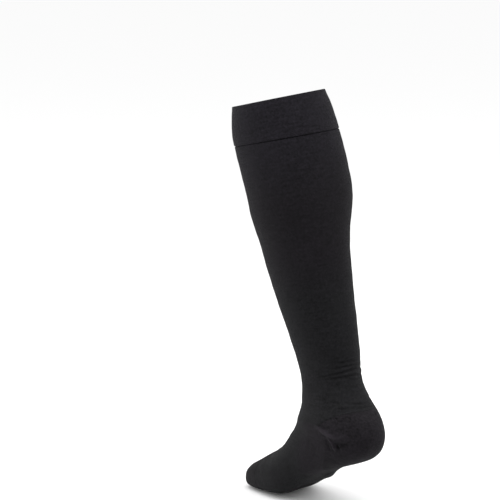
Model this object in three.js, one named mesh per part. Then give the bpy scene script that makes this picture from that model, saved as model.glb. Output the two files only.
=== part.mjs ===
import * as THREE from "three";

// A knee-high compression stocking with a closed toe, hollow, in the shape it takes on a walking leg.
// Millimetres. The origin is the centre of the top opening. +Z is up, -Y points to the toes and
// +X is the outer side of a left leg.

// How the leg stands
const LEAN_FORWARD = THREE.MathUtils.degToRad(10.5);
const LEAN_OUT = THREE.MathUtils.degToRad(5);
const ANKLE_DOWN = 310;
const ANKLE_OVER_FOOT = { forward: 86.2, up: 140.3 };

// Cloth thicknesses and how far each piece stands out from the main surface
const BAND = { wall: 2.0, proud: 0.4 };
const LEG = { wall: 1.2, proud: 0 };
const HEEL = { wall: 1.5, proud: 0.2 };
const FOOT = { wall: 1.2, proud: 0 };
const TOE = { wall: 1.5, proud: 0.2 };
const SEAM_GAP = 0.31;

// Where the pieces meet, measured along the stocking from the opening
const BAND_END = 44;
const INSTEP_LINE = 368;
const HEEL_TOP = 348;
const HEEL_BOTTOM = 436;
const TOE_LINE = 516;

// The heel pocket covers the back of the tube from corner to corner, as a part of the whole round
const HEEL_HALF_TURN = 0.24;
const HEEL_HALF_WIDTH = 50;
const HEEL_TOP_BEND = 3;
const HEEL_BOTTOM_BEND = 2.2;
const HEEL_CORNER = 0.99;

// The gore is the ridge where the two halves of the pocket are joined, on each side
const GORE_START = 369;
const GORE_END = 389;
const GORE_INNER = 0.65;
const GORE_RISE = 0.7;
const GORE_WIDTH = 2.2;

// Sections of the leg. down: along the shin from the opening. shin and calf: depth in front of and
// behind the shin line. half and shift: half the width and its middle, outwards. egg: how much wider
// the back is than the front.
const LEG_SECTIONS = [
  { down: 0, shin: 53.5, calf: 53.5, half: 50, shift: 0, egg: -0.02 },
  { down: 22, shin: 59.5, calf: 58.5, half: 54, shift: 0, egg: -0.04 },
  { down: 46, shin: 61.5, calf: 62.5, half: 55.5, shift: 0, egg: -0.06 },
  { down: 95, shin: 55, calf: 66, half: 56, shift: 0, egg: -0.08 },
  { down: 122, shin: 55, calf: 64.5, half: 54, shift: 0, egg: -0.08 },
  { down: 150, shin: 54, calf: 57.5, half: 47.5, shift: 0, egg: -0.08 },
  { down: 185, shin: 51.5, calf: 52.5, half: 42.5, shift: 0, egg: -0.08 },
  { down: 235, shin: 42.5, calf: 46.3, half: 38, shift: -1.5, egg: -0.06 },
  { down: 295, shin: 35, calf: 43, half: 31, shift: -3, egg: -0.02 },
];
const LEG_FRONT_SQUARE = 2;
const LEG_BACK_SQUARE = 2.1;

// Sections of the foot as it stands, with the heel raised. Lengths forward are from the back of the
// heel, lengths up are from the floor. topF, topZ: the point on the instep. soleF, soleZ: the point on
// the heel or sole. half and shift: half the width and its middle, outwards. topSquare, soleSquare: 2
// is round, more is squarer. low: how far the widest place lies below the middle. lead: how far the
// inner side runs ahead of the outer side. lean: the share of the leg's sideways lean.
const FOOT_COLUMNS = [
  "topF", "topZ", "soleF", "soleZ", "half", "shift",
  "topSquare", "soleSquare", "low", "lead", "lean",
];
const FOOT_ROWS = [
  [119, 130, 44, 141, 30.5, -2.5, 2, 2.1, 0, 0, 0.8],
  [119.5, 116, 31, 120, 32.5, -2, 2, 2.2, 0, 0, 0.6],
  [122.5, 104, 11, 105, 33.5, -1, 2, 2.2, 0, 0, 0.4],
  [126.5, 94, 0, 88, 34, 0, 2, 2.3, 0, 0, 0.2],
  [130, 87, 5, 70, 33, 0, 2, 2.4, 0.05, 0, 0.1],
  [134.5, 79, 28, 55, 33, 0, 2, 2.5, 0.1, 0.03, 0],
  [141, 70, 62, 43, 35, 0, 2, 2.5, 0.15, 0.1, 0],
  [151, 59, 99, 26, 39, -1, 2, 2.6, 0.2, 0.2, 0],
  [166, 48.5, 140, 3, 43, -2, 2, 2.8, 0.2, 0.28, 0],
  [183, 39, 174, -1, 41, -3, 2.1, 3, 0.2, 0.22, 0],
  [198, 29.5, 198, -2, 36, -3, 2.3, 3.3, 0.12, 0.14, 0],
  [210, 21, 210.5, -1.5, 26, -5, 2.3, 3.1, 0.05, 0.08, 0],
  [214.5, 13, 214.5, 1.5, 14, -7, 2.2, 2.5, 0, 0.04, 0],
  [216, 7.5, 216, 5.5, 2, -7, 2, 2, 0, 0, 0],
];
const FOOT_SECTIONS = FOOT_ROWS.map((row) => {
  return Object.fromEntries(FOOT_COLUMNS.map((column, i) => [column, row[i]]));
});

// Soft creases round the back of the ankle. along: place along the stocking. turn: middle of the
// crease as a part of the round, where 0 is the front and 0.5 the back. reach: half its length.
// climb: how far it runs along the stocking over a whole round. depth and width: its section.
const ANKLE_CREASES = [
  { along: 299, turn: 0.45, reach: 0.15, climb: -14, depth: 0.4, width: 2.2 },
  { along: 306, turn: 0.42, reach: 0.17, climb: -13, depth: 0.5, width: 2.2 },
  { along: 313, turn: 0.47, reach: 0.15, climb: -13, depth: 0.45, width: 2.4 },
  { along: 322, turn: 0.5, reach: 0.17, climb: -10, depth: 0.4, width: 2.6 },
  { along: 341, turn: 0.47, reach: 0.13, climb: -30, depth: 0.45, width: 2.6 },
  { along: 309, turn: 0.7, reach: 0.12, climb: 14, depth: 0.4, width: 2.4 },
  { along: 331, turn: 0.66, reach: 0.12, climb: 18, depth: 0.4, width: 2.4 },
];

// How finely the surfaces are divided
const FRONT_COLUMNS = 20;
const BACK_STEPS = [1, HEEL_CORNER, 0.95, 0.88, 0.8, 0.7, 0.6, 0.5, 0.4, 0.3, 0.2, 0.1, 0];

// Natural cubic spline through the values at the knots
function naturalSpline(knots, values) {
  const n = knots.length;
  const h = knots.slice(1).map((k, i) => k - knots[i]);
  const upper = new Array(n).fill(0);
  const right = new Array(n).fill(0);
  for (let i = 1; i < n - 1; i++) {
    const bend = 6 * ((values[i + 1] - values[i]) / h[i] - (values[i] - values[i - 1]) / h[i - 1]);
    const pivot = 2 * (h[i - 1] + h[i]) - h[i - 1] * upper[i - 1];
    upper[i] = h[i] / pivot;
    right[i] = (bend - h[i - 1] * right[i - 1]) / pivot;
  }
  const m = new Array(n).fill(0);
  for (let i = n - 2; i > 0; i--) m[i] = right[i] - upper[i] * m[i + 1];
  return (at) => {
    let i = 0;
    while (i < n - 2 && at > knots[i + 1]) i++;
    const a = knots[i + 1] - at;
    const b = at - knots[i];
    return (
      (m[i] * a ** 3 + m[i + 1] * b ** 3) / (6 * h[i]) +
      (values[i] / h[i] - (m[i] * h[i]) / 6) * a +
      (values[i + 1] / h[i] - (m[i + 1] * h[i]) / 6) * b
    );
  };
}

// Section rows in the side view: forward and up from the opening, before the sideways lean
function legRow(section) {
  const { down, shin, calf, half, shift, egg } = section;
  const sin = Math.sin(LEAN_FORWARD);
  const cos = Math.cos(LEAN_FORWARD);
  return {
    frontF: -down * sin + shin * cos,
    frontZ: -down * cos - shin * sin,
    backF: -down * sin - calf * cos,
    backZ: -down * cos + calf * sin,
    half,
    shift,
    egg,
    frontSquare: LEG_FRONT_SQUARE,
    backSquare: LEG_BACK_SQUARE,
    low: 0,
    lead: 0,
    lean: LEAN_OUT,
  };
}

const FOOT_MOVE_F = -ANKLE_DOWN * Math.sin(LEAN_FORWARD) - ANKLE_OVER_FOOT.forward;
const FOOT_MOVE_Z = -ANKLE_DOWN * Math.cos(LEAN_FORWARD) - ANKLE_OVER_FOOT.up;

function footRow(section) {
  return {
    frontF: section.topF + FOOT_MOVE_F,
    frontZ: section.topZ + FOOT_MOVE_Z,
    backF: section.soleF + FOOT_MOVE_F,
    backZ: section.soleZ + FOOT_MOVE_Z,
    half: section.half,
    shift: section.shift,
    egg: 0,
    frontSquare: section.topSquare,
    backSquare: section.soleSquare,
    low: section.low,
    lead: section.lead,
    lean: LEAN_OUT * section.lean,
  };
}

const rows = [...LEG_SECTIONS.map(legRow), ...FOOT_SECTIONS.map(footRow)];
const knots = [0];
for (let i = 1; i < rows.length; i++) {
  const a = rows[i - 1];
  const b = rows[i];
  const front = Math.hypot(b.frontF - a.frontF, b.frontZ - a.frontZ);
  const back = Math.hypot(b.backF - a.backF, b.backZ - a.backZ);
  knots.push(knots[i - 1] + (front + back) / 2);
}
const TIP = knots[knots.length - 1];
const splines = {};
for (const column of Object.keys(rows[0])) {
  splines[column] = naturalSpline(knots, rows.map((row) => row[column]));
}

// The leg leans sideways about the ankle, and the opening's centre becomes the origin
const PIVOT_Z = -ANKLE_DOWN * Math.cos(LEAN_FORWARD);
const ORIGIN_X = -PIVOT_Z * Math.sin(LEAN_OUT);
const ORIGIN_Z = PIVOT_Z - PIVOT_Z * Math.cos(LEAN_OUT);

// Point of the main surface. turn: part of the round, 0 at the front, 0.25 at the outer side
function surface(along, turn) {
  const row = {};
  for (const column of Object.keys(splines)) row[column] = splines[column](along);
  const c = Math.cos(2 * Math.PI * turn);
  const s = Math.sin(2 * Math.PI * turn);
  const square = row.frontSquare + ((row.backSquare - row.frontSquare) * (1 - c)) / 2;
  const radius = 1 / (Math.abs(c) ** square + Math.abs(s) ** square) ** (1 / square);
  const t = radius * c - row.low * s * s;
  const side = row.half * radius * s * (1 + row.egg * c);
  const f = (row.frontF + row.backF) / 2 + ((row.frontF - row.backF) / 2) * t - row.lead * side;
  const z = (row.frontZ + row.backZ) / 2 + ((row.frontZ - row.backZ) / 2) * t - PIVOT_Z;
  const x = side + row.shift;
  return new THREE.Vector3(
    x * Math.cos(row.lean) + z * Math.sin(row.lean) - ORIGIN_X,
    -f,
    z * Math.cos(row.lean) - x * Math.sin(row.lean) + PIVOT_Z - ORIGIN_Z,
  );
}

function outward(along, turn) {
  const stepAlong = 0.5;
  const stepTurn = 0.002;
  const low = Math.max(0, along - stepAlong);
  const high = Math.min(TIP, along + stepAlong);
  const down = surface(high, turn).sub(surface(low, turn));
  const round = surface(along, turn + stepTurn).sub(surface(along, turn - stepTurn));
  return round.cross(down).normalize().negate();
}

// Creases sink the cloth, the gore lifts it
function relief(along, turn) {
  let height = 0;
  for (const crease of ANKLE_CREASES) {
    const away = turn - crease.turn - Math.round(turn - crease.turn);
    const run = Math.max(0, 1 - (away / crease.reach) ** 2);
    const across = (along - crease.along - crease.climb * away) / crease.width;
    height -= crease.depth * run * Math.exp(-across * across);
  }
  return height;
}

function goreLine(x) {
  return GORE_START + (GORE_END - GORE_START) * Math.min(1, (1 - Math.abs(x)) / (1 - GORE_INNER));
}

function goreHeight(along, x) {
  const fade = THREE.MathUtils.smoothstep(Math.abs(x), GORE_INNER - 0.12, GORE_INNER + 0.06);
  const across = (along - goreLine(x)) / GORE_WIDTH;
  return GORE_RISE * fade * Math.exp(-across * across);
}

function clothPoint(along, turn, height) {
  const lift = height + relief(along, turn);
  return surface(along, turn).addScaledVector(outward(along, turn), lift);
}

// Columns round the tube. x is 1 and -1 at the corners of the heel pocket and 0 at the back
const columns = [];
for (let i = 0; i < FRONT_COLUMNS; i++) {
  const turn = (i / FRONT_COLUMNS - 0.5) * 2 * (0.5 - HEEL_HALF_TURN);
  if (i > 0) columns.push({ turn, x: null });
}
for (const x of BACK_STEPS) columns.push({ turn: 0.5 - HEEL_HALF_TURN * x, x });
for (const x of BACK_STEPS.slice(0, -1).reverse()) columns.push({ turn: 0.5 + HEEL_HALF_TURN * x, x: -x });

function pocketArch(x, bend) {
  return 1 - Math.abs(x) ** bend;
}

// How many millimetres the cloth covers for one millimetre of the place along the stocking
function stretchAt(along, turn) {
  const low = Math.max(0, along - 0.5);
  const high = Math.min(TIP, along + 0.5);
  return surface(high, turn).distanceTo(surface(low, turn)) / (high - low);
}

// Half of a seam's gap, as a length along the stocking. slope is how steeply the seam climbs
function halfGap(along, turn, slope = 0) {
  return ((SEAM_GAP / 2) * Math.hypot(1, slope)) / stretchAt(along, turn);
}

// The seam over the heel, and the seam under it, as the leg's and the foot's edges
function heelTop(column) {
  const rise = column.x === null ? 0 : pocketArch(column.x, HEEL_TOP_BEND);
  return INSTEP_LINE - (INSTEP_LINE - HEEL_TOP) * rise;
}

function heelBottom(column) {
  const fall = column.x === null ? 0 : pocketArch(column.x, HEEL_BOTTOM_BEND);
  return INSTEP_LINE + (HEEL_BOTTOM - INSTEP_LINE) * fall;
}

function slopeOf(column, height, bend) {
  if (column.x === null) return 0;
  return (bend * height * Math.abs(column.x) ** (bend - 1)) / HEEL_HALF_WIDTH;
}

function topGap(column) {
  return halfGap(heelTop(column), column.turn, slopeOf(column, INSTEP_LINE - HEEL_TOP, HEEL_TOP_BEND));
}

function bottomGap(column) {
  const height = HEEL_BOTTOM - INSTEP_LINE;
  return halfGap(heelBottom(column), column.turn, slopeOf(column, height, HEEL_BOTTOM_BEND));
}

const legEnd = (column) => heelTop(column) - topGap(column);
const footStart = (column) => heelBottom(column) + bottomGap(column);
const footEnd = (column) => TOE_LINE - halfGap(TOE_LINE, column.turn);
const toeStart = (column) => TOE_LINE + halfGap(TOE_LINE, column.turn);

// Closed bodies
function bodyFromLoops(name, loops, closed) {
  const positions = [];
  const index = [];
  const starts = loops.map((loop) => {
    const start = positions.length / 3;
    for (const point of loop) positions.push(point.x, point.y, point.z);
    return start;
  });
  const join = (a, b) => {
    const n = loops[a].length;
    for (let k = 0; k < n; k++) {
      const next = (k + 1) % n;
      const corners = [starts[a] + k, starts[a] + next, starts[b] + next, starts[b] + k];
      index.push(corners[0], corners[1], corners[2], corners[0], corners[2], corners[3]);
    }
  };
  for (let i = 0; i + 1 < loops.length; i++) join(i, i + 1);
  if (closed) join(loops.length - 1, 0);
  return { name, positions, index, starts };
}

function signedVolume(body) {
  const at = (i) => new THREE.Vector3().fromArray(body.positions, 3 * i);
  let volume = 0;
  for (let i = 0; i < body.index.length; i += 3) {
    const [a, b, c] = body.index.slice(i, i + 3).map(at);
    volume += a.dot(b.cross(c)) / 6;
  }
  return volume;
}

function toMesh(body, colour, roughness) {
  if (signedVolume(body) < 0) {
    for (let i = 0; i < body.index.length; i += 3) {
      const keep = body.index[i + 1];
      body.index[i + 1] = body.index[i + 2];
      body.index[i + 2] = keep;
    }
  }
  const geometry = new THREE.BufferGeometry();
  geometry.setAttribute("position", new THREE.Float32BufferAttribute(body.positions, 3));
  geometry.setIndex(body.index);
  geometry.computeVertexNormals();
  const material = new THREE.MeshStandardMaterial({ color: colour, roughness, metalness: 0 });
  const mesh = new THREE.Mesh(geometry, material);
  mesh.name = body.name;
  return mesh;
}

// A place along the tube is a number, or a function of the column where the edge is not level
function ringAt(place, height) {
  return columns.map((column) => {
    const along = typeof place === "function" ? place(column) : place;
    return clothPoint(along, column.turn, height);
  });
}

function placesBetween(start, end, count, power = 1) {
  return Array.from({ length: count + 1 }, (_, i) => (column) => {
    const from = typeof start === "function" ? start(column) : start;
    const to = typeof end === "function" ? end(column) : end;
    return from + (to - from) * (i / count) ** power;
  });
}

// The inner face needs only every other row
function tube(name, places, piece) {
  const innerPlaces = places.filter((_, i) => i % 2 === 0 || i === places.length - 1);
  const outer = places.map((place) => ringAt(place, piece.proud));
  const inner = innerPlaces.map((place) => ringAt(place, piece.proud - piece.wall));
  return bodyFromLoops(name, [...outer, ...inner.reverse()], true);
}

// The top band is folded over at the rim, so its edge is round
const RIM_STEPS = 5;
function topBand() {
  const radius = BAND.wall / 2;
  const rim = [];
  for (let i = 0; i <= RIM_STEPS; i++) {
    const angle = Math.PI * (i / RIM_STEPS);
    rim.push(ringAt(radius - radius * Math.sin(angle), BAND.proud - radius - radius * Math.cos(angle)));
  }
  const end = BAND_END - SEAM_GAP / 2;
  const edge = 0.5;
  const outer = placesBetween(radius, end - edge, 7).slice(1).map((place) => ringAt(place, BAND.proud));
  const step = ringAt(end, BAND.proud - edge);
  const inner = placesBetween(radius, end, 7).slice(1).map((place) => ringAt(place, BAND.proud - BAND.wall));
  return bodyFromLoops("top_band", [...rim, ...outer, step, ...inner.reverse()], true);
}

// The leg's rows lie closer together round the ankle, where the creases are
const CREASES_START = 290;
const CREASES_END = 330;
function legTube() {
  const places = [
    ...placesBetween(BAND_END + SEAM_GAP / 2, CREASES_START, 22),
    ...placesBetween(CREASES_START, CREASES_END, 24).slice(1),
    ...placesBetween(CREASES_END, legEnd, 10).slice(1),
  ];
  return tube("leg", places, LEG);
}

function footTube() {
  return tube("foot", placesBetween(footStart, footEnd, 24, 0.9), FOOT);
}

// The heel pocket is swept from corner to corner: each loop runs down its outer face and up its inner
const POCKET_ROWS_UP = 9;
const POCKET_ROWS_DOWN = 13;
function heelPocket() {
  const loops = [];
  const back = columns.filter((column) => column.x !== null && Math.abs(column.x) <= HEEL_CORNER);
  for (const column of back) {
    const top = heelTop(column) + topGap(column);
    const bottom = heelBottom(column) - bottomGap(column);
    const least = 0.35 * (bottom - top);
    const gore = THREE.MathUtils.clamp(goreLine(column.x), top + least, bottom - least);
    const alongs = [];
    for (let i = 0; i < POCKET_ROWS_UP; i++) {
      alongs.push(gore + (top - gore) * (1 - i / POCKET_ROWS_UP) ** 1.6);
    }
    for (let i = 0; i <= POCKET_ROWS_DOWN; i++) {
      alongs.push(gore + (bottom - gore) * (i / POCKET_ROWS_DOWN) ** 1.6);
    }
    const lift = (along) => HEEL.proud + goreHeight(along, column.x);
    const outer = alongs.map((along) => clothPoint(along, column.turn, lift(along)));
    const inner = alongs.map((along) => clothPoint(along, column.turn, lift(along) - HEEL.wall));
    loops.push([...outer, ...inner.reverse()]);
  }
  const body = bodyFromLoops("heel", loops, false);
  for (const [start, flip] of [[body.starts[0], true], [body.starts[loops.length - 1], false]]) {
    const n = loops[0].length;
    for (let k = 0; k < n / 2 - 1; k++) {
      const corners = [start + k, start + k + 1, start + n - 2 - k, start + n - 1 - k];
      if (flip) corners.reverse();
      body.index.push(corners[0], corners[1], corners[2], corners[0], corners[2], corners[3]);
    }
  }
  return body;
}

// The toe cap closes to a point on both faces
const TOE_ROWS = 11;
function toeCap() {
  const outer = [];
  for (let i = 0; i <= TOE_ROWS; i++) {
    const share = 1 - (1 - i / TOE_ROWS) ** 1.25;
    outer.push(ringAt((column) => toeStart(column) + (TIP - 0.3 - toeStart(column)) * share, TOE.proud));
  }
  const innerEnd = TIP - 4.5;
  const inner = [];
  for (let i = 0; i <= TOE_ROWS - 3; i++) {
    const share = i / (TOE_ROWS - 3);
    const place = (column) => toeStart(column) + (innerEnd - toeStart(column)) * share;
    inner.push(ringAt(place, TOE.proud - TOE.wall));
  }
  const loops = [...outer.reverse(), ...inner];
  const body = bodyFromLoops("toe", loops, false);
  const n = columns.length;
  const centre = (loop) => loop.reduce((sum, p) => sum.add(p), new THREE.Vector3()).divideScalar(n);
  const tipCentre = centre(loops[0]);
  const tipInner = tipCentre.clone().add(new THREE.Vector3(0, TOE.wall, 0));
  const addPole = (point, ring, flip) => {
    const pole = body.positions.length / 3;
    body.positions.push(point.x, point.y, point.z);
    for (let k = 0; k < n; k++) {
      const pair = [ring + k, ring + ((k + 1) % n)];
      if (flip) pair.reverse();
      body.index.push(pole, pair[0], pair[1]);
    }
  };
  addPole(tipCentre, body.starts[0], true);
  addPole(tipInner, body.starts[loops.length - 1], false);
  return body;
}

const stocking = new THREE.Group();
stocking.name = "compression_stocking";
stocking.add(toMesh(topBand(), 0x242226, 0.9));
stocking.add(toMesh(legTube(), 0x212123, 0.9));
stocking.add(toMesh(heelPocket(), 0x292529, 0.95));
stocking.add(toMesh(footTube(), 0x222224, 0.9));
stocking.add(toMesh(toeCap(), 0x2b292b, 0.95));

export default stocking;
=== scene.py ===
import math

import bmesh
import bpy
import numpy as np
from mathutils import Matrix, Vector


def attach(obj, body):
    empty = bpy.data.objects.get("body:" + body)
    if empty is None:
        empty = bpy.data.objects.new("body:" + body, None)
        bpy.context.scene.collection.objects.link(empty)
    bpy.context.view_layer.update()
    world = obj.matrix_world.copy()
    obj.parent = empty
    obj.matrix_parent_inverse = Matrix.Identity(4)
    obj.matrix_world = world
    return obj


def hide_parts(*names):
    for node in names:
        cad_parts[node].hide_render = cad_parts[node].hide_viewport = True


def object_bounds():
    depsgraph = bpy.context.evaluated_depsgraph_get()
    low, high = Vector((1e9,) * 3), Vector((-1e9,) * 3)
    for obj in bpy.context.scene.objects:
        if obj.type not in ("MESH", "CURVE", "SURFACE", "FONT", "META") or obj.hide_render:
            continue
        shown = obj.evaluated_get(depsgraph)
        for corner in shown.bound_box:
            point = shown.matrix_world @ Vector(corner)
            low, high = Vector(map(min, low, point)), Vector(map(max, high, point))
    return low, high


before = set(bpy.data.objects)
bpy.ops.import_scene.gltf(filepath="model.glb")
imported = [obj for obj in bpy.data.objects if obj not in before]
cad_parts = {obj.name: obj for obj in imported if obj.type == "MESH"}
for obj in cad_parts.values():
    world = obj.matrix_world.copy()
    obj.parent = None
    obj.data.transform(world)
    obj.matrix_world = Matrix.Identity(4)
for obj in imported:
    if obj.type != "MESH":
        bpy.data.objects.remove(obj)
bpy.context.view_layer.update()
MM = 0.001

# Camera, at the photograph's viewing angle. The picture is square, and the stocking's origin lies at
# ORIGIN_PX in it, in pixels from the top left corner. The lights stand round LIT_MIDDLE, in metres.
CAMERA_AZIMUTH = 145.0
CAMERA_ELEVATION = 8.9
CAMERA_DISTANCE = 3.2
PICTURE_PX = 500
FOCAL_PX = 2928
ORIGIN_PX = (278.2, 98.7)
SENSOR_MM = 36.0
FARTHEST_SEEN = 200
LIT_MIDDLE = Vector((0, 0.03, -0.22))


def direction(azimuth, elevation):
    a, e = math.radians(azimuth), math.radians(elevation)
    return Vector((math.sin(a) * math.cos(e), -math.cos(a) * math.cos(e), math.sin(e)))


def facing(back):
    """Columns right, up and back of something that looks along -back."""
    right = (-back).cross(Vector((0, 0, 1))).normalized()
    up = back.cross(right)
    return right, up


def make_camera():
    back = direction(CAMERA_AZIMUTH, CAMERA_ELEVATION)
    right, up = facing(back)
    metres_per_px = CAMERA_DISTANCE / FOCAL_PX
    aside = (ORIGIN_PX[0] - PICTURE_PX / 2) * metres_per_px
    above = (PICTURE_PX / 2 - ORIGIN_PX[1]) * metres_per_px
    place = back * CAMERA_DISTANCE - right * aside - up * above
    data = bpy.data.cameras.new("camera")
    data.sensor_width = SENSOR_MM
    data.lens = SENSOR_MM * FOCAL_PX / PICTURE_PX
    data.clip_end = FARTHEST_SEEN
    camera = bpy.data.objects.new("camera", data)
    turn = Matrix((right, up, back)).transposed().to_4x4()
    camera.matrix_world = Matrix.Translation(place) @ turn
    bpy.context.scene.collection.objects.link(camera)
    bpy.context.scene.camera = camera


def make_light(name, azimuth, elevation, distance, size, watts):
    data = bpy.data.lights.new(name, "AREA")
    data.shape = "RECTANGLE"
    data.size, data.size_y = size
    data.energy = watts
    light = bpy.data.objects.new(name, data)
    back = direction(azimuth, elevation)
    right, up = facing(back)
    turn = Matrix((right, up, back)).transposed().to_4x4()
    light.matrix_world = Matrix.Translation(LIT_MIDDLE + back * distance) @ turn
    bpy.context.scene.collection.objects.link(light)


make_camera()

# The stocking's main form, in millimetres. The origin is the centre of the top opening, +Z is up, -Y
# points to the toes and +X is the outer side.
LEAN_FORWARD = math.radians(10.5)
LEAN_OUT = math.radians(5)
ANKLE_DOWN = 310.0
ANKLE_OVER_FOOT = (86.2, 140.3)
LEG_SQUARE = (2.0, 2.1)

# The cloth of each piece: how thick it is, and how far it stands out over the main form
BAND = {"wall": 2.0, "proud": 0.4}
LEG = {"wall": 1.2, "proud": 0.0}
HEEL = {"wall": 1.5, "proud": 0.2}
FOOT = {"wall": 1.2, "proud": 0.0}
TOE = {"wall": 1.5, "proud": 0.2}

# Edges of the pieces, along the stocking from the opening
BAND_END = 44.0
INSTEP_LINE = 368.0
HEEL_TOP = 346.5
HEEL_BOTTOM = 436.0
TOE_LINE = 516.0

# The heel pocket: half its width as a part of a turn, how full its two edges are, and how near its
# cloth comes to the corners
HEEL_HALF_TURN = 0.24
HEEL_TOP_BEND = 3.0
HEEL_BOTTOM_BEND = 2.2
HEEL_CORNER = 0.992

# Between two pieces, and from a rounded edge to the first row of points inside it
SEAM_GAP = 0.12
EDGE_SUPPORT = 0.15

# Sections of the leg: down the shin from the opening, depth in front of and behind the shin line, half
# the width, its middle outwards, and how much wider the back is than the front
LEG_SECTIONS = (
    (0, 53.5, 53.5, 50, 0, -0.02),
    (22, 59.5, 58.5, 54, 0, -0.04),
    (46, 61.5, 62.5, 55.5, 0, -0.06),
    (95, 55, 66, 56, 0, -0.08),
    (122, 55, 64.5, 54, 0, -0.08),
    (150, 54, 57.5, 47.5, 0, -0.08),
    (185, 51.5, 52.5, 42.5, 0, -0.08),
    (235, 42.5, 46.3, 38, -1.5, -0.06),
    (295, 35, 43, 31, -3, -0.02),
)
# Sections of the foot, forward from the heel and up from the floor: the point on the instep, the point
# on the sole, half the width, its middle outwards, how square the top and the sole are, how low the
# widest place lies, how far the inner side leads, and the share of the leg's sideways lean
FOOT_SECTIONS = (
    (119, 130, 44, 141, 30.5, -2.5, 2, 2.1, 0, 0, 0.8),
    (119.5, 116, 31, 120, 32.5, -2, 2, 2.2, 0, 0, 0.6),
    (122.5, 104, 11, 105, 33.5, -1, 2, 2.2, 0, 0, 0.4),
    (126.5, 94, 0, 88, 34, 0, 2, 2.3, 0, 0, 0.2),
    (130, 87, 5, 70, 33, 0, 2, 2.4, 0.05, 0, 0.1),
    (134.5, 79, 28, 55, 33, 0, 2, 2.5, 0.1, 0.03, 0),
    (141, 70, 62, 43, 35, 0, 2, 2.5, 0.15, 0.1, 0),
    (151, 59, 99, 26, 39, -1, 2, 2.6, 0.2, 0.2, 0),
    (166, 48.5, 140, 3, 43, -2, 2, 2.8, 0.2, 0.28, 0),
    (183, 39, 174, -1, 41, -3, 2.1, 3, 0.2, 0.22, 0),
    (198, 29.5, 198, -2, 36, -3, 2.3, 3.3, 0.12, 0.14, 0),
    (210, 21, 210.5, -1.5, 26, -5, 2.3, 3.1, 0.05, 0.08, 0),
    (214.5, 13, 214.5, 1.5, 14, -7, 2.2, 2.5, 0, 0.04, 0),
    (216, 7.5, 216, 5.5, 2, -7, 2, 2, 0, 0, 0),
)


def natural_spline(knots, values):
    n = len(knots)
    h = np.diff(knots)
    system = np.zeros((n, n))
    right = np.zeros_like(values)
    system[0, 0] = system[-1, -1] = 1
    for i in range(1, n - 1):
        system[i, i - 1 : i + 2] = h[i - 1], 2 * (h[i - 1] + h[i]), h[i]
        slopes = (values[i + 1] - values[i]) / h[i] - (values[i] - values[i - 1]) / h[i - 1]
        right[i] = 6 * slopes
    m = np.linalg.solve(system, right)

    def at(v):
        i = np.clip(np.searchsorted(knots, v) - 1, 0, n - 2)
        a, b, w = (knots[i + 1] - v)[:, None], (v - knots[i])[:, None], h[i][:, None]
        cubic = (m[i] * a**3 + m[i + 1] * b**3) / (6 * w)
        return cubic + (values[i] / w - m[i] * w / 6) * a + (values[i + 1] / w - m[i + 1] * w / 6) * b

    return at


def section_rows():
    """front forward, front up, back forward, back up, half, shift, egg, squares, low, lead, lean."""
    sin, cos = math.sin(LEAN_FORWARD), math.cos(LEAN_FORWARD)
    rows = []
    for down, shin, calf, half, shift, egg in LEG_SECTIONS:
        front = (-down * sin + shin * cos, -down * cos - shin * sin)
        behind = (-down * sin - calf * cos, -down * cos + calf * sin)
        rows.append((*front, *behind, half, shift, egg, *LEG_SQUARE, 0, 0, LEAN_OUT))
    move = (-ANKLE_DOWN * sin - ANKLE_OVER_FOOT[0], -ANKLE_DOWN * cos - ANKLE_OVER_FOOT[1])
    for top_f, top_z, sole_f, sole_z, half, shift, *squares, low, lead, lean in FOOT_SECTIONS:
        front = (top_f + move[0], top_z + move[1])
        behind = (sole_f + move[0], sole_z + move[1])
        rows.append((*front, *behind, half, shift, 0, *squares, low, lead, LEAN_OUT * lean))
    return np.array(rows, float)


ROWS = section_rows()
front_steps = np.hypot(*np.diff(ROWS[:, 0:2], axis=0).T)
back_steps = np.hypot(*np.diff(ROWS[:, 2:4], axis=0).T)
KNOTS = np.concatenate([[0], np.cumsum((front_steps + back_steps) / 2)])
TIP = KNOTS[-1]
spline = natural_spline(KNOTS, ROWS)
PIVOT_Z = -ANKLE_DOWN * math.cos(LEAN_FORWARD)
ORIGIN_X = -PIVOT_Z * math.sin(LEAN_OUT)
ORIGIN_Z = PIVOT_Z - PIVOT_Z * math.cos(LEAN_OUT)


def surface(along, turn):
    """Points of the main form. turn is 0 at the front, 0.25 at the outer side and 0.5 at the back."""
    shape = np.shape(along)
    row = spline(np.ravel(along)).T
    front_f, front_z, back_f, back_z, half, shift, egg, square_a, square_b, low, lead, lean = row
    c, s = np.cos(2 * np.pi * np.ravel(turn)), np.sin(2 * np.pi * np.ravel(turn))
    square = square_a + (square_b - square_a) * (1 - c) / 2
    radius = 1 / (np.abs(c) ** square + np.abs(s) ** square) ** (1 / square)
    t = radius * c - low * s * s
    side = half * radius * s * (1 + egg * c)
    f = (front_f + back_f) / 2 + (front_f - back_f) / 2 * t - lead * side
    z = (front_z + back_z) / 2 + (front_z - back_z) / 2 * t - PIVOT_Z
    x = side + shift
    out_x = x * np.cos(lean) + z * np.sin(lean) - ORIGIN_X
    out_z = z * np.cos(lean) - x * np.sin(lean) + PIVOT_Z - ORIGIN_Z
    return np.stack([out_x, -f, out_z], -1).reshape(shape + (3,))


def outward(along, turn):
    low, high = along - 0.5, np.minimum(TIP, along + 0.5)
    down = surface(high, turn) - surface(low, turn)
    around = surface(along, turn + 0.002) - surface(along, turn - 0.002)
    normal = np.cross(down, around)
    return normal / np.linalg.norm(normal, axis=-1, keepdims=True)


# How far it is round the stocking, at places along it
GIRTH_AT = (
    (0, 327), (47, 371), (123, 360), (187, 299), (237, 261), (298, 222), (338, 245), (356, 287), (372, 316),
    (385, 314), (403, 286), (427, 248), (488, 234), (514, 210), (535, 178), (549, 127), (561, 20),
)
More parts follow.
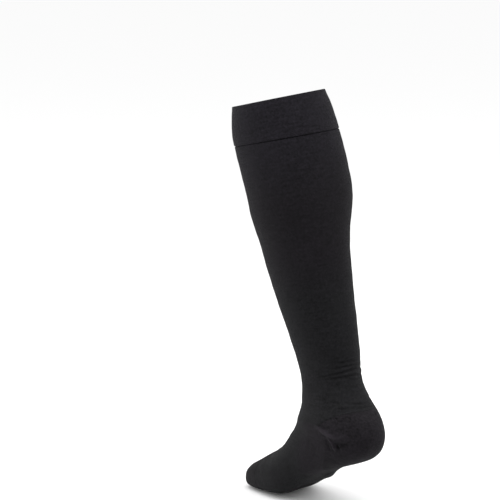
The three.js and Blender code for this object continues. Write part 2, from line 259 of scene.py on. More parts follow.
# Soft folds, ridges and dimples. path: points (along, turn) on the stocking. height:
# how far the cloth stands out, or sinks where it is below 0. width: half the fold's width. All in
# millimetres except turn. A ring has no ends to fade at.
ANKLE_FOLDS = (
    {"path": ((308.6, 0.335), (307.2, 0.42), (305.4, 0.57)), "height": -1.0, "width": 1.15},
    {"path": ((309.9, 0.40), (308.9, 0.50), (309.3, 0.58)), "height": 0.9, "width": 1.0},
    {"path": ((312.4, 0.35), (311.3, 0.44), (313.0, 0.58)), "height": -0.95, "width": 1.15},
    {"path": ((313.0, 0.485), (313.6, 0.515), (314.6, 0.545)), "height": 1.7, "width": 0.9},
    {"path": ((314.8, 0.39), (315.2, 0.47)), "height": 0.4, "width": 1.2},
    {"path": ((304.2, 0.41), (303.2, 0.50)), "height": 0.65, "width": 1.1},
    {"path": ((302.0, 0.38), (300.9, 0.47), (301.5, 0.55)), "height": -0.9, "width": 1.15},
    {"path": ((296.6, 0.40), (296.0, 0.47), (296.9, 0.56)), "height": -0.85, "width": 1.2},
    {"path": ((291.6, 0.39), (289.4, 0.49)), "height": -0.5, "width": 1.2},
    {"path": ((319.0, 0.40), (318.6, 0.45)), "height": -0.5, "width": 1.3},
    {"path": ((322.6, 0.46), (324.2, 0.53)), "height": -0.45, "width": 1.4},
    {"path": ((327.4, 0.38), (328.0, 0.42)), "height": -0.4, "width": 1.4},
    {"path": ((334.8, 0.362), (335.2, 0.40)), "height": -0.9, "width": 1.1},
    {"path": ((336.4, 0.43), (338.4, 0.50), (339.8, 0.56)), "height": -0.75, "width": 1.1},
    {"path": ((341.4, 0.375), (342.2, 0.42)), "height": -0.85, "width": 1.1},
    {"path": ((343.4, 0.45), (342.4, 0.51), (342.8, 0.56)), "height": -0.7, "width": 1.1},
    {"path": ((338.6, 0.38), (339.6, 0.45)), "height": 0.35, "width": 1.1},
    {"path": ((329.0, 0.30), (331.5, 0.35)), "height": -0.4, "width": 1.6},
    {"path": ((306.2, 0.60), (307.6, 0.68), (310.5, 0.77)), "height": -0.85, "width": 1.3},
    {"path": ((309.4, 0.62), (311.0, 0.70)), "height": 0.45, "width": 1.1},
    {"path": ((313.4, 0.61), (315.4, 0.70)), "height": -0.75, "width": 1.3},
    {"path": ((321.5, 0.62), (324.2, 0.72), (328.0, 0.79)), "height": -0.65, "width": 1.4},
    {"path": ((298.8, 0.62), (299.4, 0.71)), "height": -0.5, "width": 1.3},
    {"path": ((335.8, 0.60), (338.8, 0.69)), "height": -0.6, "width": 1.3},
    {"path": ((341.6, 0.88), (340.4, 0.97), (341.2, 1.07)), "height": -0.8, "width": 1.7},
    {"path": ((347.4, 0.90), (346.8, 1.01), (348.4, 1.09)), "height": -0.65, "width": 1.8},
    {"path": ((334.6, 0.93), (333.8, 1.02)), "height": -0.5, "width": 1.6},
    {"path": ((354.2, 0.95), (354.4, 1.05)), "height": -0.45, "width": 2.0},
)
HEEL_FOLDS = (
    {"path": ((369.2, 0.256), (371.6, 0.284), (374.0, 0.312), (375.4, 0.350)), "height": 2.5, "width": 2.6},
    {"path": ((374.6, 0.342), (372.2, 0.358), (369.4, 0.376)), "height": 1.1, "width": 1.2},
    {"path": ((379.0, 0.334), (379.8, 0.358), (378.8, 0.386)), "height": -1.1, "width": 1.7},
    {"path": ((376.8, 0.304), (381.0, 0.320), (387.4, 0.340)), "height": 2.1, "width": 1.1},
    {"path": ((380.6, 0.334), (383.2, 0.343), (385.4, 0.352)), "height": -2.1, "width": 1.4},
    {"path": ((379.6, 0.296), (384.4, 0.306), (389.6, 0.322)), "height": -0.8, "width": 1.6},
    {"path": ((391.6, 0.334), (396.4, 0.352)), "height": 0.55, "width": 1.5},
    {"path": ((366.0, 0.262), (367.0, 0.286), (368.6, 0.306)), "height": -0.8, "width": 1.5},
    {"path": ((399.6, 0.36), (405.6, 0.40), (407.4, 0.44)), "height": -0.4, "width": 2.0},
    {"path": ((361.8, 0.281), (361.0, 0.289)), "height": -1.0, "width": 1.2},
    {"path": ((357.8, 0.303), (357.0, 0.309)), "height": -0.8, "width": 1.1},
    {"path": ((355.8, 0.322), (355.2, 0.331)), "height": -1.1, "width": 1.2},
    {"path": ((354.5, 0.346), (353.9, 0.354)), "height": -1.1, "width": 1.2},
    {"path": ((354.4, 0.374), (353.6, 0.383)), "height": -1.1, "width": 1.2},
    {"path": ((356.9, 0.360), (357.3, 0.366)), "height": -0.8, "width": 1.1},
    {"path": ((354.0, 0.401), (353.6, 0.410)), "height": -1.0, "width": 1.3},
    {"path": ((353.6, 0.437), (353.2, 0.443)), "height": -0.7, "width": 1.2},
    {"path": ((352.6, 0.452), (356.6, 0.462)), "height": 0.6, "width": 1.1},
    {"path": ((359.4, 0.335), (360.8, 0.345)), "height": -0.6, "width": 1.3},
    {"path": ((362.4, 0.388), (362.9, 0.398)), "height": -0.6, "width": 1.3},
    {"path": ((366.6, 0.350), (365.8, 0.360)), "height": -0.6, "width": 1.3},
    {"path": ((349.9, 0.361), (348.0, 0.386), (346.0, 0.425), (345.0, 0.480)), "height": 0.8, "width": 0.9},
    {"path": ((371.0, 0.740), (371.8, 0.714), (373.8, 0.688), (374.6, 0.660)), "height": 1.8, "width": 2.6},
    {"path": ((376.8, 0.698), (381.6, 0.684), (387.0, 0.666)), "height": 1.7, "width": 1.2},
    {"path": ((381.6, 0.668), (384.4, 0.660), (386.6, 0.650)), "height": -1.7, "width": 1.4},
    {"path": ((374.4, 0.660), (371.2, 0.642), (369.4, 0.625)), "height": 0.6, "width": 1.4},
    {"path": ((360.6, 0.716), (359.8, 0.708)), "height": -0.9, "width": 1.2},
    {"path": ((355.4, 0.682), (355.0, 0.672)), "height": -1.0, "width": 1.2},
    {"path": ((354.2, 0.652), (354.0, 0.642)), "height": -0.8, "width": 1.2},
    {"path": ((353.4, 0.606), (353.2, 0.596)), "height": -0.9, "width": 1.2},
    {"path": ((352.8, 0.560), (352.8, 0.552)), "height": -0.7, "width": 1.2},
    {"path": ((345.0, 0.530), (346.4, 0.585), (348.4, 0.620)), "height": 0.5, "width": 0.9},
    {"path": ((400.4, 0.63), (406.2, 0.59), (408.4, 0.56)), "height": -0.4, "width": 2.0},
)
FOOT_FOLDS = (
    {"path": ((398.0, 0.08), (399.0, 0.0), (397.6, -0.09)), "height": -0.5, "width": 2.2},
    {"path": ((389.0, 0.06), (388.4, -0.05)), "height": -0.4, "width": 2.0},
    {"path": ((390.6, 0.222), (396.0, 0.236), (404.0, 0.25)), "height": -0.4, "width": 2.0},
    {"path": ((396.0, 0.268), (401.0, 0.276), (408.0, 0.292)), "height": -0.4, "width": 1.8},
    {"path": ((380.8, 0.80), (392.6, 0.775), (404.6, 0.75)), "height": -0.45, "width": 2.2},
    {"path": ((447.0, 0.36), (450.6, 0.41)), "height": -0.4, "width": 2.2},
    {"path": ((497.0, 0.12), (499.6, 0.0), (497.4, -0.12)), "height": -0.45, "width": 2.0},
    {"path": ((505.4, 0.08), (507.0, -0.04)), "height": -0.35, "width": 1.7},
    {"path": ((506.6, 0.190), (508.0, 0.206)), "height": -0.7, "width": 1.5},
    {"path": ((510.4, 0.252), (511.2, 0.266)), "height": -0.6, "width": 1.5},
    {"path": ((504.8, 0.148), (505.4, 0.164)), "height": 0.6, "width": 1.8},
)
TOE_FOLDS = (
    {"path": ((536.0, 0.19), (540.6, 0.10), (541.6, 0.0), (540.6, -0.10), (536.0, -0.19)),
     "height": 0.42, "width": 0.9},
    {"path": ((533.6, 0.17), (538.2, 0.09), (539.2, 0.0), (538.2, -0.09), (533.6, -0.17)),
     "height": -0.26, "width": 1.0},
    {"path": ((525.0, 0.29), (528.4, 0.27)), "height": -0.4, "width": 1.9},
    {"path": ((524.0, 0.20), (527.0, 0.185)), "height": -0.35, "width": 1.7},
    {"path": ((532.0, 0.31), (536.0, 0.30)), "height": -0.5, "width": 1.8},
)
# The band's seam, and short lines that leave it at the back and at the front
BAND_FOLDS = (
    {"path": ((44.0, 0.0), (44.0, 1.0)), "height": -0.35, "width": 0.7, "ring": True},
    {"path": ((44.0, 0.30), (44.0, 0.54)), "height": -0.5, "width": 0.75},
    {"path": ((44.8, 0.455), (46.4, 0.51), (48.2, 0.56), (49.0, 0.62)), "height": -0.75, "width": 0.75},
    {"path": ((45.6, 0.50), (46.8, 0.55), (47.2, 0.60)), "height": 0.5, "width": 0.8},
    {"path": ((45.4, 0.90), (47.4, 0.98), (48.2, 1.05)), "height": -0.5, "width": 0.75},
)
# The sole swells on its inner side, and its middle sinks next to that, towards the toes
SWELLINGS = (
    {"path": ((446.0, 0.515), (455.0, 0.562), (464.0, 0.615)), "height": 3.0, "width": 7.0},
    {"path": ((474.0, 0.440), (478.0, 0.500), (480.0, 0.560)), "height": -2.6, "width": 7.0},
)
# Slow unevenness of the stretched cloth: waves along and round, how high, and where they start
SLOW_WAVES = (
    (0.021, 3, 0.10, 0.4),
    (0.047, 2, 0.07, 1.9),
    (0.034, 5, 0.06, 3.1),
    (0.083, 4, 0.04, 5.2),
)

# A fold ends this many widths from its path. Nowhere that folds lie is a turn shorter than this.
FOLD_REACH = 4
SHORTEST_TURN = 60
# A fold fades towards the ends of its path, but not quite to nothing
FADE_POWER = 0.6
FADE_SHARES = (0.02, 0.98)


def fold_height(along, turn, folds, girth):
    total = np.zeros_like(along)
    for fold in folds:
        path = np.array(fold["path"])
        middle = path[:, 1].mean()
        near = turn - np.round(turn - middle)
        reach = FOLD_REACH * fold["width"]
        reach_turn = reach / SHORTEST_TURN
        low = (path[:, 0].min() - reach, path[:, 1].min() - reach_turn)
        high = (path[:, 0].max() + reach, path[:, 1].max() + reach_turn)
        chosen = (along > low[0]) & (along < high[0]) & (near > low[1]) & (near < high[1])
        if not chosen.any():
            continue
        a, b, g = along[chosen], near[chosen], girth[chosen]
        steps = np.hypot(np.diff(path[:, 0]), np.diff(path[:, 1]) * g.mean())
        ends = np.concatenate([[0], np.cumsum(steps)])
        best = np.full(a.shape, np.inf)
        share = np.zeros(a.shape)
        for i in range(len(steps)):
            da, db = path[i + 1, 0] - path[i, 0], (path[i + 1, 1] - path[i, 1]) * g
            pa, pb = a - path[i, 0], (b - path[i, 1]) * g
            t = np.clip((pa * da + pb * db) / (da * da + db * db), 0, 1)
            away = np.hypot(pa - t * da, pb - t * db)
            closer = away < best
            best = np.where(closer, away, best)
            share = np.where(closer, (ends[i] + t * steps[i]) / ends[-1], share)
        fade = 1 if fold.get("ring") else np.sin(np.pi * np.clip(share, *FADE_SHARES)) ** FADE_POWER
        total[chosen] += fold["height"] * fade * np.exp(-((best / fold["width"]) ** 2))
    return total


def slow_height(along, turn):
    total = np.zeros_like(along)
    for wave, rounds, height, start in SLOW_WAVES:
        total += height * np.sin(2 * np.pi * (wave * along + rounds * turn) + start)
    return total


ALL_FOLDS = BAND_FOLDS + ANKLE_FOLDS + HEEL_FOLDS + FOOT_FOLDS


def cloth_points(along, turn, height, folds):
    """Points of a face of the cloth, and how far the folds lift each of them."""
    girth = np.interp(along, *np.array(GIRTH_AT, float).T)
    relief = fold_height(along, turn, folds, girth)
    lift = height + relief + fold_height(along, turn, SWELLINGS, girth) + slow_height(along, turn)
    return surface(along, turn) + outward(along, turn) * lift[..., None], relief


# Edges of the pieces, as places along the stocking at each turn
def pocket_x(turn):
    return np.clip((0.5 - turn) / HEEL_HALF_TURN, -1, 1)


def heel_top(turn):
    return INSTEP_LINE - (INSTEP_LINE - HEEL_TOP) * (1 - np.abs(pocket_x(turn)) ** HEEL_TOP_BEND)


def heel_bottom(turn):
    return INSTEP_LINE + (HEEL_BOTTOM - INSTEP_LINE) * (1 - np.abs(pocket_x(turn)) ** HEEL_BOTTOM_BEND)


EDGE_STEPS = 5


def edge_profile(radius):
    """Places in from a rounded edge and how far the face drops there, from the edge inwards."""
    angles = np.linspace(0, np.pi / 2, EDGE_STEPS)
    steps = [(radius * (1 - math.cos(a)), radius * (1 - math.sin(a))) for a in angles]
    return steps + [(radius + EDGE_SUPPORT, 0 * radius)]


def face_rows(start, end, places, height, radii):
    """Rows (along and height at each column) of one face, with both its edges rounded. radii: how
    round the two edges are, below 0 on the inner face. places: shares of the way between them."""
    first, last = (np.abs(radius) + 0 * start for radius in radii)
    sign = 1 if np.all(np.asarray(radii[0]) >= 0) else -1
    rows = [(start + into, height - sign * drop) for into, drop in edge_profile(first)]
    inner_start, inner_end = start + first + EDGE_SUPPORT, end - last - EDGE_SUPPORT
    rows += [(inner_start + (inner_end - inner_start) * share, height + 0 * start) for share in places]
    rows += [(end - into, height - sign * drop) for into, drop in reversed(edge_profile(last))]
    return rows


def even(count):
    return [i / count for i in range(1, count)]


def mesh_piece(name, points, turns, alongs, relief, faces, material):
    """The map of a face that lies across the start of the turn goes on past 1."""
    mesh = bpy.data.meshes.new(name)
    mesh.from_pydata((points * MM).tolist(), [], faces)
    layer = mesh.uv_layers.new(name="stitches")
    loop_vertices = np.zeros(len(mesh.loops), np.int64)
    mesh.loops.foreach_get("vertex_index", loop_vertices)
    u = turns[loop_vertices]
    sizes = np.array([len(f) for f in faces])
    starts = np.concatenate([[0], np.cumsum(sizes)[:-1]])
    highest = np.maximum.reduceat(u, starts)
    wraps = np.repeat(highest > 0.9, sizes) & (u < 0.1)
    u = np.where(wraps, u + 1, u)
    v = alongs[loop_vertices] / TIP
    layer.data.foreach_set("uv", np.stack([u, v], -1).astype(np.float32).ravel())
    # The fold heights, which the knits also turn into painted highlight where folds rise and painted shade
    # where they sink
    lifted = mesh.attributes.new("relief", "FLOAT", "POINT")
    lifted.data.foreach_set("value", relief.astype(np.float32))
    mesh.shade_smooth()
    mesh.materials.append(material)
    mesh.validate()
    piece = bpy.data.objects.new(name, mesh)
    bpy.context.scene.collection.objects.link(piece)
    return piece


def strip_faces(loop_count, columns, close_loops, close_columns):
    """Quads between neighbouring loops (rows of points) and neighbouring columns."""
    faces = []
    for i in range(loop_count if close_loops else loop_count - 1):
        j = (i + 1) % loop_count
        for k in range(columns if close_columns else columns - 1):
            m = (k + 1) % columns
            faces.append((i * columns + k, j * columns + k, j * columns + m, i * columns + m))
    return faces


def build_shell(name, turns, outer, inner, folds, material, close_columns=True, poles=False):
    """A closed wall of cloth from the rows of its outer face and, backwards, of its inner face."""
    rows = outer + inner[::-1]
    along = np.array([row[0] for row in rows])
    height = np.array([row[1] for row in rows])
    turn = np.broadcast_to(turns, along.shape)
    points, relief = cloth_points(along, turn, height, folds)
    columns = len(turns)
    faces = strip_faces(len(rows), columns, not poles, close_columns)
    points = points.reshape(-1, 3)
    turn, along = turn.ravel(), along.ravel()
    if not close_columns:
        for k, flip in ((0, False), (columns - 1, True)):
            last = len(rows) - 1
            for i in range(len(outer) - 1):
                corners = [i, i + 1, last - i - 1, last - i]
                face = tuple(r * columns + k for r in corners)
                faces.append(face[::-1] if flip else face)
    return mesh_piece(name, points, turn, along, relief.ravel(), faces, material)


# Knit materials. Each stitch is a pair of legs that meet in a V. Courses run round the stocking.
def math_node(tree, operation, a, b=None, c=None):
    node = tree.nodes.new("ShaderNodeMath")
    node.operation = operation
    for i, value in enumerate((a, b, c)):
        if value is None:
            continue
        if isinstance(value, (int, float)):
            node.inputs[i].default_value = value
        else:
            tree.links.new(value, node.inputs[i])
    return node.outputs[0]


def vector_node(tree, operation, a, b):
    """b is a plain vector, or else the output that scales a."""
    node = tree.nodes.new("ShaderNodeVectorMath")
    node.operation = operation
    tree.links.new(a, node.inputs[0])
    if isinstance(b, tuple):
        node.inputs[1].default_value = b
    else:
        tree.links.new(b, node.inputs["Scale"])
    return node


def noise(tree, vector, scale, detail):
    """Noise around 0."""
    node = tree.nodes.new("ShaderNodeTexNoise")
    node.inputs["Scale"].default_value = scale
    node.inputs["Detail"].default_value = detail
    tree.links.new(vector, node.inputs["Vector"])
    return math_node(tree, "SUBTRACT", node.outputs["Fac"], 0.5)


def between(tree, value, low, high):
    """0 at low and 1 at high, with a soft step between them."""
    node = tree.nodes.new("ShaderNodeMapRange")
    node.interpolation_type = "SMOOTHSTEP"
    tree.links.new(value, node.inputs["Value"])
    node.inputs["From Min"].default_value = low
    node.inputs["From Max"].default_value = high
    return node.outputs[0]


def weighted_sum(tree, start, terms):
    total = start
    for value, weight in terms:
        total = math_node(tree, "MULTIPLY_ADD", value, weight, total)
    return total


def tone_along(tree, place_along, tones):
    """The yarn's colour, from colours at some places along the stocking, in millimetres."""
    node = tree.nodes.new("ShaderNodeValToRGB")
    ramp = node.color_ramp
    ramp.interpolation = "LINEAR"
    while len(ramp.elements) < len(tones):
        ramp.elements.new(0.5)
    for element, (along, colour) in zip(ramp.elements, tones):
        element.position = along / TIP
        element.color = (*colour, 1)
    tree.links.new(place_along, node.inputs["Fac"])
    return node.outputs["Color"]


# Near this middle the foot takes the heel's colour: not at all beyond the first reach and wholly within
# the second, in metres
HEEL_MIDDLE = (-0.010, 0.105, -0.380)
HEEL_TONE_REACH = (0.068, 0.048)

# Stitches: how many courses a V climbs, how its loops brighten, and the mean of the whole. A gauge is
# how many wales lie round the stocking and how many courses along it.
V_CLIMB = 1.1
LOOP_SWING = 0.32
LOOP_MEAN = 0.68
STITCH_MEAN = 0.43
FINE_GAUGE = (400, 1000)
HEAVY_GAUGE = (330, 760)
FINE_STITCH_MM = 0.12
HEAVY_STITCH_MM = 0.18

# Uneven yarn: rows and dimples round and along the stocking, grain and patches in a metre. Dimples
# begin where their noise falls below the first level, and are full at the second.
ROW_SCALE = (26, 205, 0)
SPOT_SCALE = (95, 235, 0)
DIMPLE_LEVELS = (-0.04, -0.2)
GRAIN_SCALE = 400.0
PATCH_SCALE = 24.0

# How much each of them changes the colour. Folds and dimples also paint light into it: lighter where the
# cloth rises, darker where it sinks.
STITCH_SHADE = 0.3
ROW_SHADE = 0.7
GRAIN_SHADE = 1.8
PATCH_SHADE = 0.5
# Painted shade inside the dimples, where they sink
DIMPLE_PAINTED_SHADE = 0.5
# Painted highlight on raised folds and painted shade in sunk ones, for each millimetre of lift
FOLD_PAINTED_HIGHLIGHT_AND_SHADE = 0.45  # for each millimetre that a fold lifts the cloth
DARKEST_SHADE = 0.25

# How high each of them stands, in millimetres, and how shiny the yarn is
ROW_RELIEF = 0.25
GRAIN_RELIEF = 0.5
DIMPLE_RELIEF = 0.6
FINE_ROUGHNESS = 0.8
HEAVY_ROUGHNESS = 0.86
GRAIN_ROUGHNESS = 0.2
SPECULAR = 0.07
SHEEN = 0.02
SHEEN_ROUGHNESS = 0.35
SHEEN_TINT = (0.8, 0.8, 0.86, 1)


def knit(name, tones, gauge, stitch_mm, dimple_depth_and_shade, roughness, heel_tone=None):
    """tones: (place along, colour) pairs. gauge: wales round and courses along. stitch_mm: how deep
    a stitch is. dimple_depth_and_shade: how deep small dimples sink, and how much painted shade
    darkens them. heel_tone: the colour near the heel."""
    material = bpy.data.materials.new(name)
    material.use_nodes = True
    tree = material.node_tree
    tree.nodes.clear()
    uv = tree.nodes.new("ShaderNodeUVMap")
    uv.uv_map = "stitches"
    stitch_map = uv.outputs[0]
    place = tree.nodes.new("ShaderNodeTexCoord").outputs["Object"]
    split = tree.nodes.new("ShaderNodeSeparateXYZ")
    tree.links.new(stitch_map, split.inputs[0])

    wales, courses = gauge
    wale = math_node(tree, "FRACT", math_node(tree, "MULTIPLY", split.outputs[0], wales))
    course = math_node(tree, "MULTIPLY", split.outputs[1], courses)
    off_middle = math_node(tree, "ABSOLUTE", math_node(tree, "SUBTRACT", wale, 0.5))
    climb = math_node(tree, "MULTIPLY_ADD", off_middle, V_CLIMB, course)
    loop_wave = math_node(tree, "SINE", math_node(tree, "MULTIPLY", climb, 2 * math.pi))
    loop = math_node(tree, "MULTIPLY_ADD", loop_wave, LOOP_SWING, LOOP_MEAN)
    yarn_leg = math_node(tree, "SINE", math_node(tree, "MULTIPLY", off_middle, 2 * math.pi))
    stitches = math_node(tree, "SUBTRACT", math_node(tree, "MULTIPLY", yarn_leg, loop), STITCH_MEAN)

    rows = noise(tree, vector_node(tree, "MULTIPLY", stitch_map, ROW_SCALE).outputs[0], 1.0, 1.0)
    grain = noise(tree, place, GRAIN_SCALE, 2.0)
    patches = noise(tree, place, PATCH_SCALE, 2.0)
    spots = noise(tree, vector_node(tree, "MULTIPLY", stitch_map, SPOT_SCALE).outputs[0], 1.0, 0.0)
    dimples = between(tree, spots, *DIMPLE_LEVELS)

    # The colour follows the folds and dimples: painted highlight where the cloth rises, painted shade where
    # it sinks
    folds = tree.nodes.new("ShaderNodeAttribute")
    folds.attribute_name = "relief"
    shade = weighted_sum(tree, 1.0, (
        (stitches, STITCH_SHADE), (rows, ROW_SHADE), (grain, GRAIN_SHADE), (patches, PATCH_SHADE),
        (dimples, -DIMPLE_PAINTED_SHADE * dimple_depth_and_shade), (folds.outputs["Fac"], FOLD_PAINTED_HIGHLIGHT_AND_SHADE),
    ))
    shade = math_node(tree, "MAXIMUM", shade, DARKEST_SHADE)
    tone = tone_along(tree, split.outputs[1], tones)
    if heel_tone:
        away = vector_node(tree, "DISTANCE", place, HEEL_MIDDLE).outputs["Value"]
        mix = tree.nodes.new("ShaderNodeMix")
        mix.data_type = "RGBA"
        tree.links.new(between(tree, away, *HEEL_TONE_REACH), mix.inputs[0])
        tree.links.new(tone, mix.inputs[6])
        mix.inputs[7].default_value = (*heel_tone, 1)
        tone = mix.outputs[2]
    colour = vector_node(tree, "SCALE", tone, shade).outputs[0]

    relief = weighted_sum(tree, 0.0, (
        (stitches, stitch_mm), (rows, ROW_RELIEF), (grain, GRAIN_RELIEF), (dimples, -DIMPLE_RELIEF * dimple_depth_and_shade),
    ))
    bump = tree.nodes.new("ShaderNodeBump")
    bump.inputs["Distance"].default_value = MM
    tree.links.new(relief, bump.inputs["Height"])

    shader = tree.nodes.new("ShaderNodeBsdfPrincipled")
    tree.links.new(colour, shader.inputs["Base Color"])
    rough = math_node(tree, "MULTIPLY_ADD", grain, GRAIN_ROUGHNESS, roughness)
    tree.links.new(rough, shader.inputs["Roughness"])
    shader.inputs["Specular IOR Level"].default_value = SPECULAR
    shader.inputs["Sheen Weight"].default_value = SHEEN
    shader.inputs["Sheen Roughness"].default_value = SHEEN_ROUGHNESS
    shader.inputs["Sheen Tint"].default_value = SHEEN_TINT
    tree.links.new(bump.outputs[0], shader.inputs["Normal"])
    output = tree.nodes.new("ShaderNodeOutputMaterial")
    tree.links.new(shader.outputs[0], output.inputs["Surface"])
    return material


# Colours of the yarn, and where along the stocking each lies. Some of them hold painted light or painted
# shade, as said at each.
VIOLET_BLACK = (0.0082, 0.0073, 0.0096)
DARK_VIOLET = (0.0061, 0.0053, 0.0066)
NEUTRAL_BLACK = (0.0063, 0.0062, 0.0070)
# The lighter black round the ankle is painted light: it stands in for fill light falling there
ANKLE_BLACK_PAINTED_LIGHT = (0.0086, 0.0085, 0.0094)
INSTEP_BLACK = (0.0070, 0.0069, 0.0077)
FOOT_BLACK = (0.0080, 0.0079, 0.0087)
HEEL_VIOLET = (0.0088, 0.0076, 0.0094)
FOOT_END_BLACK = (0.0114, 0.0111, 0.0119)
# The heel's top, where it faces up, is lighter: painted light. Its end under the heel, facing down, is
# darker: painted shade.
HEEL_TOP_PAINTED_LIGHT = (0.0118, 0.0105, 0.0124)
HEEL_END_PAINTED_SHADE = (0.0052, 0.0045, 0.0056)
TOE_BLACK = (0.0122, 0.0113, 0.0123)
TIP_BLACK = (0.0100, 0.0086, 0.0099)

band_tones = ((0, VIOLET_BLACK), (44, VIOLET_BLACK))
leg_tones = (
    (44, VIOLET_BLACK), (110, DARK_VIOLET), (180, DARK_VIOLET), (225, NEUTRAL_BLACK), (285, NEUTRAL_BLACK),
    (330, ANKLE_BLACK_PAINTED_LIGHT), (352, ANKLE_BLACK_PAINTED_LIGHT), (368, INSTEP_BLACK),
)
foot_tones = ((368, INSTEP_BLACK), (430, FOOT_BLACK), (480, FOOT_BLACK), (516, FOOT_END_BLACK))
heel_tones = ((346, HEEL_TOP_PAINTED_LIGHT), (372, HEEL_VIOLET), (436, HEEL_END_PAINTED_SHADE))
toe_tones = ((516, TOE_BLACK), (561, TIP_BLACK))
fine = (FINE_GAUGE, FINE_STITCH_MM)
heavy = (HEAVY_GAUGE, HEAVY_STITCH_MM)
band_knit = knit("band_knit", band_tones, *fine, dimple_depth_and_shade=0.15, roughness=FINE_ROUGHNESS)
leg_knit = knit("leg_knit", leg_tones, *fine, dimple_depth_and_shade=0.15, roughness=FINE_ROUGHNESS)
foot_knit = knit(
    "foot_knit", foot_tones, *fine, dimple_depth_and_shade=0.25, roughness=FINE_ROUGHNESS, heel_tone=HEEL_VIOLET
)
heel_knit = knit("heel_knit", heel_tones, *heavy, dimple_depth_and_shade=0.45, roughness=HEAVY_ROUGHNESS)
toe_knit = knit("toe_knit", toe_tones, *heavy, dimple_depth_and_shade=0.5, roughness=HEAVY_ROUGHNESS)

# The pieces
COLUMNS = 200
turns = np.arange(COLUMNS) / COLUMNS
level = np.ones(COLUMNS)
half_gap = SEAM_GAP / 2

# How round the edges are: seams, the band's two edges outside and inside, the leg's edge at the band,
# and the line where leg and foot are knitted in one. Inner faces have radii below 0. The last number
# is how much of half the pocket's width, from a corner, the seam's radius takes to grow to its full size.
SEAM_RADIUS = 0.3
BAND_OUTER_RADII = (0.95, 0.95)
BAND_INNER_RADII = (-0.9, -0.6)
LEG_TOP_RADIUS = 0.85
LEG_TOP_INNER_RADIUS = -0.5
UNSEEN_RADIUS = 0.01
POCKET_CORNER_SHARE = 0.12

# The rim rises most half a turn on from where it doesn't rise
RIM_RISE = 2.2
RIM_LEVEL_AT = 0.1

# The ankle's wrinkles start at this share of the leg's length, and the rows lie closer below it
ANKLE_FROM = 0.72
CALF_ROWS = 110
ANKLE_ROWS = 150

# The toe ends this far short of the tip, outside and inside, and a middle point closes it
TOE_END_GAP = 0.25
TOE_INNER_END = 4.5
TIP_PLACE = 0.999

# Rows of points on the outer and on the inner face
BAND_ROWS = (34, 16)
LEG_INNER_ROWS = 70
FOOT_ROWS = (110, 50)
HEEL_ROWS = 130
TOE_ROWS = (60, 30)
HEEL_COLUMNS = 221


def make_band():
    rise = RIM_RISE * (1 - np.cos(2 * np.pi * (turns - RIM_LEVEL_AT))) / 2
    start, end = -rise, level * (BAND_END - half_gap)
    high, low = BAND["proud"], BAND["proud"] - BAND["wall"]
    outer = face_rows(start, end, even(BAND_ROWS[0]), high, BAND_OUTER_RADII)
    inner = face_rows(start, end, even(BAND_ROWS[1]), low, BAND_INNER_RADII)
    return build_shell("band_cloth", turns, outer, inner, BAND_FOLDS, band_knit)


def instep_radius():
    """The leg and the foot are knitted in one: their edges show only along the heel pocket."""
    share = np.clip((1 - np.abs(pocket_x(turns))) / POCKET_CORNER_SHARE, 0, 1)
    return UNSEEN_RADIUS + SEAM_RADIUS * share


def make_leg():
    start = level * (BAND_END + half_gap)
    seam = instep_radius()
    end = heel_top(turns) - np.minimum(half_gap, seam)
    places = [ANKLE_FROM * i / CALF_ROWS for i in range(1, CALF_ROWS)]
    places += [ANKLE_FROM + (1 - ANKLE_FROM) * i / ANKLE_ROWS for i in range(ANKLE_ROWS)]
    outer = face_rows(start, end, places, LEG["proud"], (LEG_TOP_RADIUS, seam))
    radii = (LEG_TOP_INNER_RADIUS, -seam)
    inner = face_rows(start, end, even(LEG_INNER_ROWS), LEG["proud"] - LEG["wall"], radii)
    return build_shell("leg_cloth", turns, outer, inner, ALL_FOLDS, leg_knit)


def make_foot():
    seam = instep_radius()
    start = heel_bottom(turns) + np.minimum(half_gap, seam)
    end = level * (TOE_LINE - half_gap)
    outer = face_rows(start, end, even(FOOT_ROWS[0]), FOOT["proud"], (seam, SEAM_RADIUS))
    inner = face_rows(start, end, even(FOOT_ROWS[1]), FOOT["proud"] - FOOT["wall"], (-seam, -SEAM_RADIUS))
    return build_shell("foot_cloth", turns, outer, inner, ALL_FOLDS, foot_knit)


def make_heel():
    x = np.sin(np.linspace(-1, 1, HEEL_COLUMNS) * np.pi / 2) * HEEL_CORNER
    pocket = 0.5 - x[::-1] * HEEL_HALF_TURN
    start = heel_top(pocket) + half_gap
    end = heel_bottom(pocket) - half_gap
    radius = np.minimum(SEAM_RADIUS, SEAM_RADIUS * (end - start - 2 * EDGE_SUPPORT))
    outer = face_rows(start, end, even(HEEL_ROWS), HEEL["proud"], (radius, radius))
    inner = face_rows(start, end, even(HEEL_ROWS), HEEL["proud"] - HEEL["wall"], (-radius, -radius))
    return build_shell("heel_cloth", pocket, outer, inner, ALL_FOLDS, heel_knit, close_columns=False)


def make_toe():
    start = level * (TOE_LINE + half_gap)
    high, low = TOE["proud"], TOE["proud"] - TOE["wall"]
    edge = edge_profile(SEAM_RADIUS * level)
    faces = []
    for end, count, crowding, height, sign in (
        (TIP - TOE_END_GAP, TOE_ROWS[0], 1.5, high, 1),
        (TIP - TOE_INNER_END, TOE_ROWS[1], 1.3, low, -1),
    ):
        rows = [(start + into, height - sign * drop) for into, drop in edge]
        first = rows[-1][0]
        for i in range(1, count + 1):
            share = 1 - (1 - i / count) ** crowding
            rows.append((first + (end - first) * share, height + 0 * level))
        faces.append(rows)
    outer, inner = faces
    piece = build_shell("toe_cloth", turns, outer[::-1], inner[::-1], TOE_FOLDS, toe_knit, poles=True)
    close_ends(piece.data, len(outer) + len(inner))
    return piece


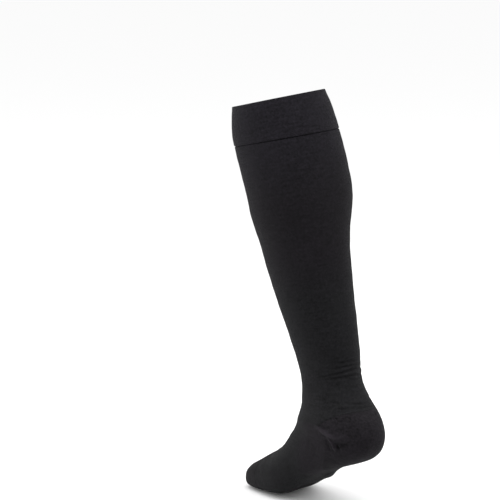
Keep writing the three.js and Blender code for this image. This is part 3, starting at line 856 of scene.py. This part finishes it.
def close_ends(mesh, row_count):
    """Closes the first and the last row of points with a fan round a middle point."""
    work = bmesh.new()
    work.from_mesh(mesh)
    work.verts.ensure_lookup_table()
    layer = work.loops.layers.uv.active
    rings = [[work.verts[i * COLUMNS + k] for k in range(COLUMNS)] for i in (0, row_count - 1)]
    for ring in rings:
        middle = work.verts.new(sum((v.co for v in ring), Vector()) / COLUMNS)
        for k in range(COLUMNS):
            face = work.faces.new((middle, ring[k], ring[(k + 1) % COLUMNS]))
            face.smooth = True
            for loop in face.loops:
                loop[layer].uv = ((k + 0.5) / COLUMNS, TIP_PLACE)
    bmesh.ops.recalc_face_normals(work, faces=work.faces)
    work.to_mesh(mesh)
    work.free()


band = make_band()
leg = make_leg()
foot = make_foot()
heel = make_heel()
toe = make_toe()

# Flat sizes of the relaxed knit, all round. It is worn half as wide again, and hardly longer.
pieces = (
    (band, "top_band", "band", (0.248, 0.045), 0.0105, ()),
    (leg, "leg", "leg", (0.248, 0.318), 0.0606, ("band_cloth",)),
    (heel, "heel", "heel", (0.095, 0.086), 0.0063, ("leg_cloth", "foot_cloth")),
    (foot, "foot", "foot", (0.205, 0.145), 0.0178, ("heel_cloth", "leg_cloth")),
    (toe, "toe", "toe", (0.140, 0.044), 0.0046, ("foot_cloth",)),
)
for piece, node, slot, flat, area, rests_on in pieces:
    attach(piece, "root")
    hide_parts(node)

# Floor and light, in metres
FLOOR_HALF = 40.0
FLOOR_TONE = (0.92, 0.92, 0.92, 1)
WORLD_STRENGTH = 1.04


def make_floor():
    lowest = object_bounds()[0].z
    corners = [(x * FLOOR_HALF, y * FLOOR_HALF, lowest) for x, y in ((-1, -1), (1, -1), (1, 1), (-1, 1))]
    mesh = bpy.data.meshes.new("floor")
    mesh.from_pydata(corners, [], [(0, 1, 2, 3)])
    material = bpy.data.materials.new("floor_paper")
    material.use_nodes = True
    shader = material.node_tree.nodes["Principled BSDF"]
    shader.inputs["Base Color"].default_value = FLOOR_TONE
    shader.inputs["Roughness"].default_value = 1.0
    shader.inputs["Specular IOR Level"].default_value = 0.0
    mesh.materials.append(material)
    floor = bpy.data.objects.new("floor", mesh)
    bpy.context.scene.collection.objects.link(floor)


make_floor()
world = bpy.data.worlds.new("studio")
world.use_nodes = True
world.node_tree.nodes["Background"].inputs["Color"].default_value = (1, 1, 1, 1)
world.node_tree.nodes["Background"].inputs["Strength"].default_value = WORLD_STRENGTH
bpy.context.scene.world = world
bpy.context.scene.view_settings.view_transform = "Standard"
make_light("softbox_left", 60, 35, 1.8, (1.2, 1.6), 10)
make_light("softbox_right", 235, 40, 1.8, (1.2, 1.6), 13)
make_light("softbox_top", 145, 72, 2.0, (1.6, 1.6), 24)
